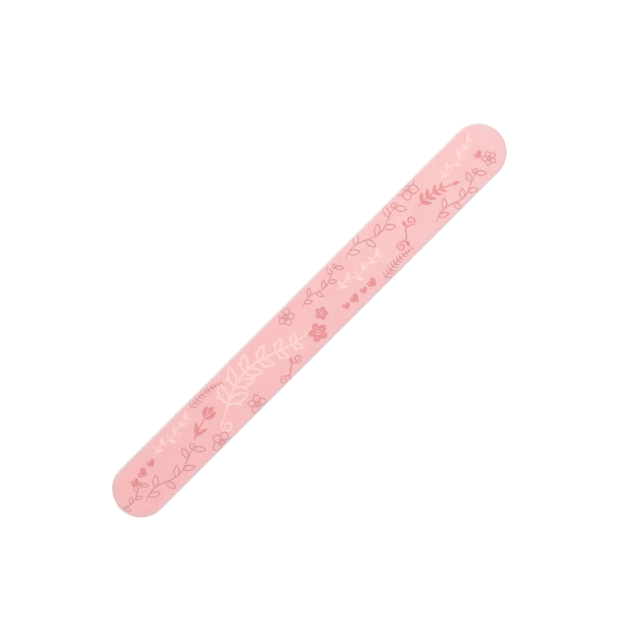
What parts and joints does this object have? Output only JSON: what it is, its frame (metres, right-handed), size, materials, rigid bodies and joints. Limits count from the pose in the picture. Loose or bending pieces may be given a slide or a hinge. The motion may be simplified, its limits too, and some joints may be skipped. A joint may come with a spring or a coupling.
{
  "type": "nail file",
  "caption": "Flat straight nail file with full-round ends, made of a stiff core between foam cushions with a printed pink abrasive sheet on each face.",
  "frame": {"origin": "middle of the rear face, on the surface that the file lies on", "axes": "+X along the file's length, +Y across its width, +Z out of the front face, which is the finer side"},
  "size_m": [0.178, 0.019, 0.004],
  "materials": {
    "core_plastic": "die-cut white polystyrene sheet, satin, with fine shear lines on its edge",
    "laminating_adhesive": "clear acrylic transfer adhesive, slightly yellow at its edge",
    "cushion_foam": "cut closed-cell white foam, matt, with fine open cells on its cut side",
    "backing_paper": "latex-treated white backing paper with a fibrous cut edge",
    "bond_resin": "pink-tinted bond resin",
    "abrasive_mineral": "fine mineral grain set in resin",
    "pink_coat": null
  },
  "bodies": {
    "root": {"core_board": "core_plastic", "front_core_adhesive": "laminating_adhesive", "rear_core_adhesive": "laminating_adhesive", "front_foam_cushion": "cushion_foam", "rear_foam_cushion": "cushion_foam", "front_sheet_adhesive": "laminating_adhesive", "rear_sheet_adhesive": "laminating_adhesive", "front_backing_paper": "backing_paper", "rear_backing_paper": "backing_paper", "front_make_coat": "bond_resin", "rear_make_coat": "bond_resin", "front_abrasive_grain": "abrasive_mineral", "rear_abrasive_grain": "abrasive_mineral", "front_size_coat": "bond_resin", "rear_size_coat": "bond_resin", "front_colour_coat": "pink_coat", "rear_colour_coat": "pink_coat"}
  },
  "joints": []
}
